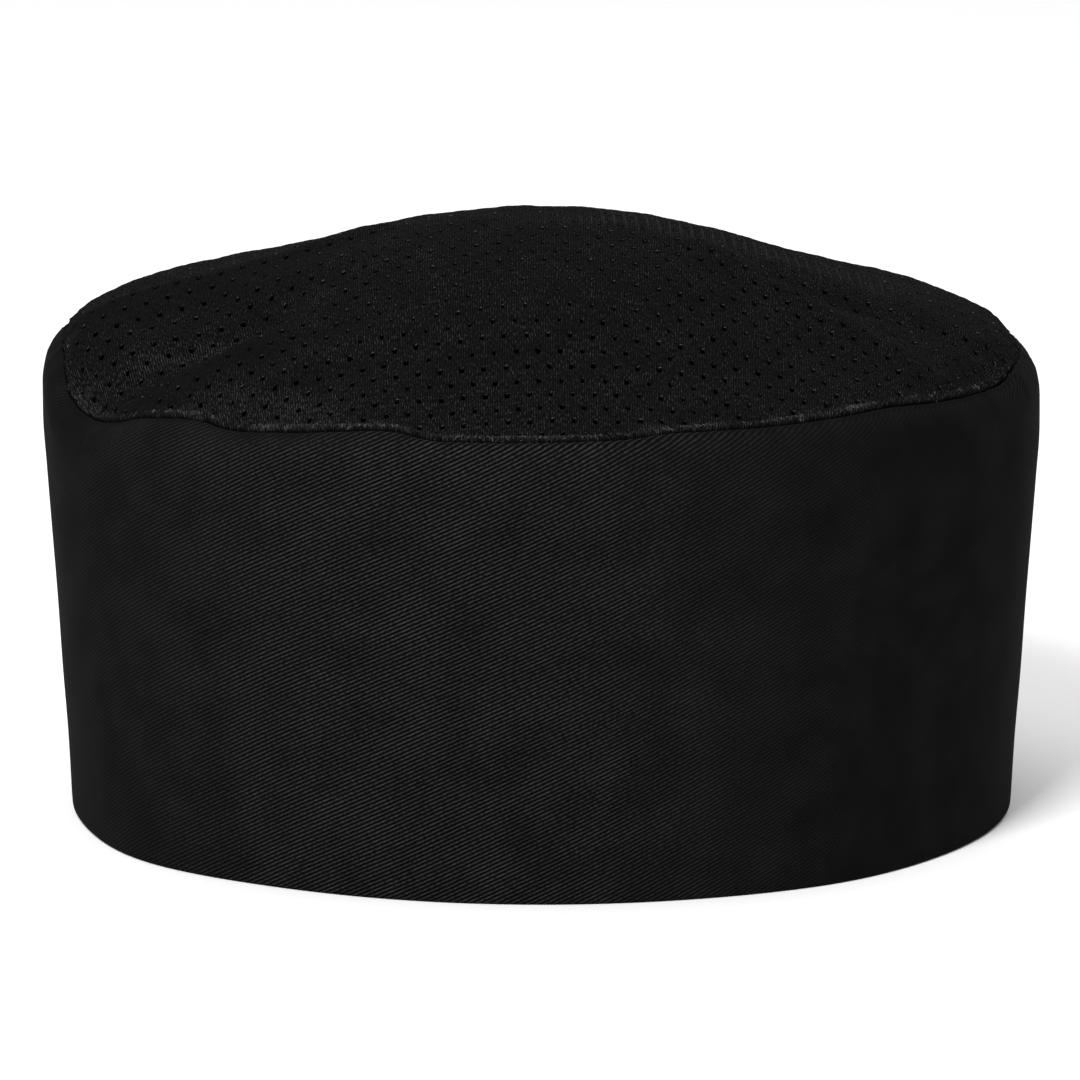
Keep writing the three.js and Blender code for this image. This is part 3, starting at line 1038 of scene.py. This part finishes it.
def stretched_noise(tree, first, first_size, second, second_size, detail=1.0):
    """Noise whose spots are as long as the two sizes, in millimetres."""
    joined_up = tree.nodes.new("ShaderNodeCombineXYZ")
    tree.links.new(math_node(tree, "DIVIDE", first, first_size), joined_up.inputs["X"])
    tree.links.new(math_node(tree, "DIVIDE", second, second_size), joined_up.inputs["Y"])
    return noise_node(tree, joined_up.outputs[0], 1.0, detail)


def grey_ramp(tree, value, stops):
    node = tree.nodes.new("ShaderNodeValToRGB")
    ramp = node.color_ramp
    while len(ramp.elements) < len(stops):
        ramp.elements.new(0.5)
    for element, (position, grey) in zip(ramp.elements, stops):
        element.position = position
        element.color = (grey, grey, grey, 1)
    tree.links.new(value, node.inputs["Fac"])
    return node.outputs["Color"]


def bump(tree, shader, height, distance):
    node = tree.nodes.new("ShaderNodeBump")
    node.inputs["Distance"].default_value = distance * MM
    node.inputs["Strength"].default_value = 1.0
    tree.links.new(height, node.inputs["Height"])
    tree.links.new(node.outputs["Normal"], shader.inputs["Normal"])


def matt(shader):
    """Cloth hardly shines: its fibres shade one another."""
    shader.inputs["Roughness"].default_value = CLOTH_ROUGHNESS
    shader.inputs["Specular IOR Level"].default_value = CLOTH_SPECULAR


def twill_material():
    material, tree, shader = nodes_of("black_twill")
    vector, along, up = cloth_places(tree)
    drift = noise_node(tree, vector, TWILL_DRIFT_SPOTS, 1.0)
    drift = map_range(tree, drift, 0, 1, -TWILL_DRIFT, TWILL_DRIFT)
    line = math_node(tree, "SUBTRACT", up, math_node(tree, "MULTIPLY", along, TWILL_SLOPE))
    line = math_node(tree, "ADD", line, drift)
    wave = math_node(tree, "SINE", math_node(tree, "MULTIPLY", line, 2 * math.pi / TWILL_PITCH))
    ridge = map_range(tree, wave, -1, 1, 0, 1)
    run = math_node(tree, "ADD", along, math_node(tree, "MULTIPLY", up, TWILL_SLOPE))
    bead = stretched_noise(tree, run, BEAD_LENGTH, line, BEAD_WIDTH)
    bead = map_range(tree, bead, *TWILL_BEADS)
    # The share is the twill's contrast, with painted highlight up the front and painted shade at the sides,
    # in colour and in bump.
    contrast_and_sheen = own_share(tree)
    height = math_node(tree, "MULTIPLY", ridge, map_range(tree, bead, *TWILL_BEAD_HEIGHTS))
    height = math_node(tree, "MULTIPLY", height, contrast_and_sheen)
    relief = math_node(tree, "SUBTRACT", math_node(tree, "MULTIPLY", ridge, bead), FLAT_TWILL_TONE)
    tone = math_node(tree, "MULTIPLY_ADD", relief, contrast_and_sheen, FLAT_TWILL_TONE)
    worn = map_range(tree, noise_node(tree, vector, TWILL_WEAR_SPOTS, 3.0), *TWILL_WEAR)
    tone = math_node(tree, "MULTIPLY", tone, worn)
    tree.links.new(grey_ramp(tree, tone, TWILL_TONES), shader.inputs["Base Color"])
    bump(tree, shader, height, TWILL_RELIEF)
    matt(shader)
    return material


def wale_sheen_lines(tree, across, along):
    """A line along the wales between each two columns of holes, which stand half a pitch apart."""
    lean = math.radians(LATTICE_LEAN)
    level = math_node(tree, "MULTIPLY", across, math.cos(lean))
    level = math_node(tree, "MULTIPLY_ADD", along, math.sin(lean), level)
    level = math_node(tree, "SUBTRACT", level, FIRST_HOLE)
    turns = math_node(tree, "MULTIPLY", level, 4 * math.pi / HOLE_PITCH)
    wave = math_node(tree, "SINE", math_node(tree, "SUBTRACT", turns, math.pi / 2))
    return map_range(tree, wave, *STRIPE_EDGES)


def knit_material():
    material, tree, shader = nodes_of("black_knit")
    vector, across, along = cloth_places(tree)
    sway = noise_node(tree, vector, WALE_SWAY_SPOTS, 1.0)
    sway = map_range(tree, sway, 0, 1, -WALE_SWAY, WALE_SWAY)
    swayed = math_node(tree, "ADD", across, sway)
    wave = math_node(tree, "SINE", math_node(tree, "MULTIPLY", swayed, 2 * math.pi / WALE_PITCH))
    rib = map_range(tree, wave, -1, 1, 0, 1)
    fleck = stretched_noise(tree, swayed, FLECK_WIDTH, along, FLECK_LENGTH, 2.0)
    fleck = map_range(tree, fleck, *KNIT_FLECKS)
    height = math_node(tree, "MULTIPLY", map_range(tree, rib, *KNIT_RIBS), fleck)
    worn = map_range(tree, noise_node(tree, vector, KNIT_WEAR_SPOTS, 2.0), *KNIT_WEAR)
    # The wales' contrast carries painted highlight and shade.
    height = math_node(tree, "MULTIPLY", height, own_share(tree, "contrast_and_sheen"))
    tone = math_node(tree, "ADD", math_node(tree, "MULTIPLY", height, worn), own_share(tree))
    # Painted sheen on the wales between the columns of holes.
    stripe = math_node(tree, "MULTIPLY", wale_sheen_lines(tree, swayed, along), own_share(tree, "gleam"))
    stripe = math_node(tree, "MULTIPLY", stripe, map_range(tree, fleck, *STRIPE_FLECKS))
    tone = math_node(tree, "ADD", tone, stripe)
    # Where the painted contrast of the wales fades their tone rises, and where it grows their tone sinks.
    slack = math_node(tree, "SUBTRACT", 1.0, own_share(tree, "contrast_and_sheen"))
    tone = math_node(tree, "MULTIPLY_ADD", slack, FADED_WALE_TONE, tone)
    tree.links.new(grey_ramp(tree, tone, KNIT_TONES), shader.inputs["Base Color"])
    bump(tree, shader, height, KNIT_RELIEF)
    matt(shader)
    return material


def yarn_material(name, tones, roughness):
    """Smooth yarn, each loop or fibre with its own tone."""
    material, tree, shader = nodes_of(name)
    tree.links.new(grey_ramp(tree, own_share(tree), tones), shader.inputs["Base Color"])
    shader.inputs["Roughness"].default_value = roughness
    shader.inputs["Specular IOR Level"].default_value = YARN_SPECULAR
    return material


def dress(made, material):
    made.data.materials.clear()
    made.data.materials.append(material)


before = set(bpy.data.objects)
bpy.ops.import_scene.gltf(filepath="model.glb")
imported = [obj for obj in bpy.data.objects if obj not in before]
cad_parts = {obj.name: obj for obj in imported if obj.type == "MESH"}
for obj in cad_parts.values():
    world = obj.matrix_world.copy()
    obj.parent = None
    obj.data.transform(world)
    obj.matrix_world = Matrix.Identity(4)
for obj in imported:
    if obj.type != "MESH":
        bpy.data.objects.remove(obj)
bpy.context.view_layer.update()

band = make_band()
dress(band, twill_material())
crown, middles, looped, sizes = make_crown()
dress(crown, knit_material())
loops = make_loops(middles, looped, sizes)
dress(loops, yarn_material("black_yarn", YARN_SHEEN_TONES, YARN_ROUGHNESS))
seam = make_seam()
dress(seam, yarn_material("black_thread", THREAD_TONES, THREAD_ROUGHNESS))


# The floor and the light.
def make_floor():
    mesh = bpy.data.meshes.new("floor")
    corners = [(x * FLOOR_REACH, y * FLOOR_REACH, 0) for x, y in ((-1, -1), (1, -1), (1, 1), (-1, 1))]
    mesh.from_pydata(corners, [], [(0, 1, 2, 3)])
    made = bpy.data.objects.new("floor", mesh)
    bpy.context.scene.collection.objects.link(made)
    material, _, shader = nodes_of("floor_white")
    shader.inputs["Base Color"].default_value = (FLOOR_GREY, FLOOR_GREY, FLOOR_GREY, 1)
    shader.inputs["Roughness"].default_value = FLOOR_ROUGHNESS
    shader.inputs["Specular IOR Level"].default_value = FLOOR_SPECULAR
    mesh.materials.append(material)


def area_light(name, place, aim, size, watts):
    data = bpy.data.lights.new(name, "AREA")
    data.shape = "SQUARE"
    data.size = size
    data.energy = watts
    made = bpy.data.objects.new(name, data)
    made.location = place
    made.rotation_mode = "QUATERNION"
    made.rotation_quaternion = (Vector(aim) - Vector(place)).to_track_quat("-Z", "Y")
    bpy.context.scene.collection.objects.link(made)


def make_light():
    world = bpy.data.worlds.new("studio")
    bpy.context.scene.world = world
    world.use_nodes = True
    background = world.node_tree.nodes["Background"]
    background.inputs["Color"].default_value = (1, 1, 1, 1)
    background.inputs["Strength"].default_value = SKY
    middle = Vector(LIT_PLACE)
    area_light("overhead", OVERHEAD_PLACE, middle, OVERHEAD_SIZE, OVERHEAD_WATTS)
    azimuth = math.radians(KEY_AZIMUTH)
    elevation = math.radians(KEY_ELEVATION)
    level = KEY_AWAY * math.cos(elevation)
    from_middle = (level * math.sin(azimuth), -level * math.cos(azimuth), KEY_AWAY * math.sin(elevation))
    area_light("key", middle + Vector(from_middle), middle, KEY_SIZE, KEY_WATTS)


def make_camera():
    """The photograph's view: a long lens, a little above the cap."""
    data = bpy.data.cameras.new("camera")
    made = bpy.data.objects.new("camera", data)
    bpy.context.scene.collection.objects.link(made)
    elevation = math.radians(CAMERA_ELEVATION)
    back = Vector((0, -math.cos(elevation), math.sin(elevation)))
    made.location = Vector(CAMERA_AIM) + back * CAMERA_AWAY
    made.rotation_mode = "QUATERNION"
    made.rotation_quaternion = (-back).to_track_quat("-Z", "Y")
    data.sensor_width = CAMERA_SENSOR
    data.lens = CAMERA_LENS
    data.clip_end = CAMERA_REACH
    bpy.context.scene.camera = made


make_floor()
make_light()
make_camera()
bpy.context.scene.view_settings.view_transform = "Standard"
bpy.context.scene.view_settings.look = "None"
